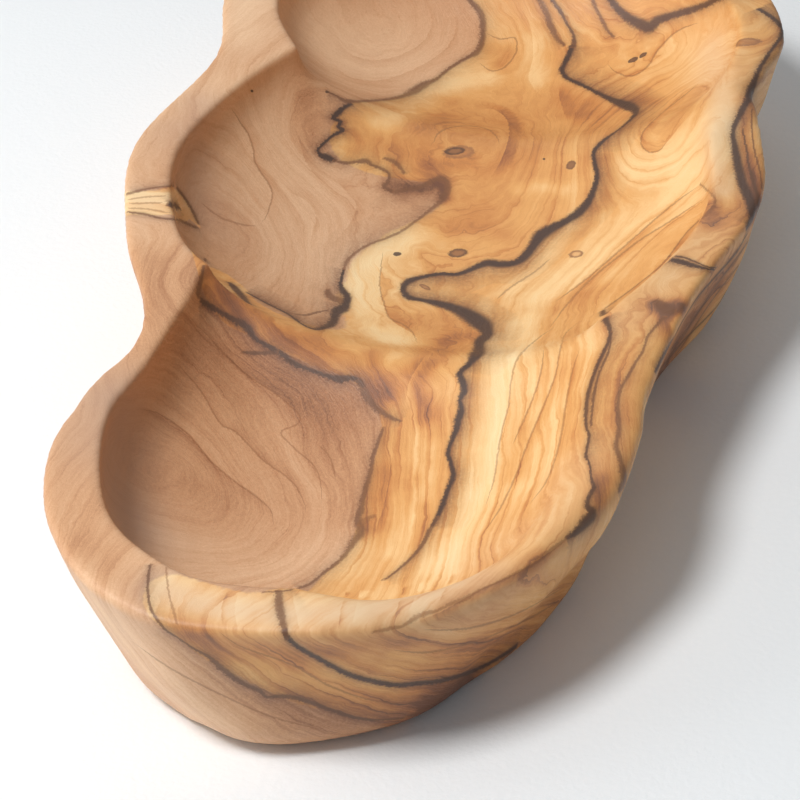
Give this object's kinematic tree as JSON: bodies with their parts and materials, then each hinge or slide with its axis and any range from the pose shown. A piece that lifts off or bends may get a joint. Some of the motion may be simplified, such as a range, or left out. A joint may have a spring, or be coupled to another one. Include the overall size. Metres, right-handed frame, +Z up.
{
  "type": "divided serving dish",
  "caption": "Long carved wooden serving dish with a row of oval hollows inside a flat scalloped rim, for olives, nuts, dips and other small snacks.",
  "frame": {"origin": "on the table, under the middle of the dish's outline", "axes": "+Z up from the table; +Y along the dish, from the near end of the picture to the far end; +X across it, to the right"},
  "size_m": [0.155, 0.3, 0.042],
  "materials": {
    "olive_wood": "oiled satin"
  },
  "bodies": {
    "root": {"dish": "olive_wood"}
  },
  "joints": []
}
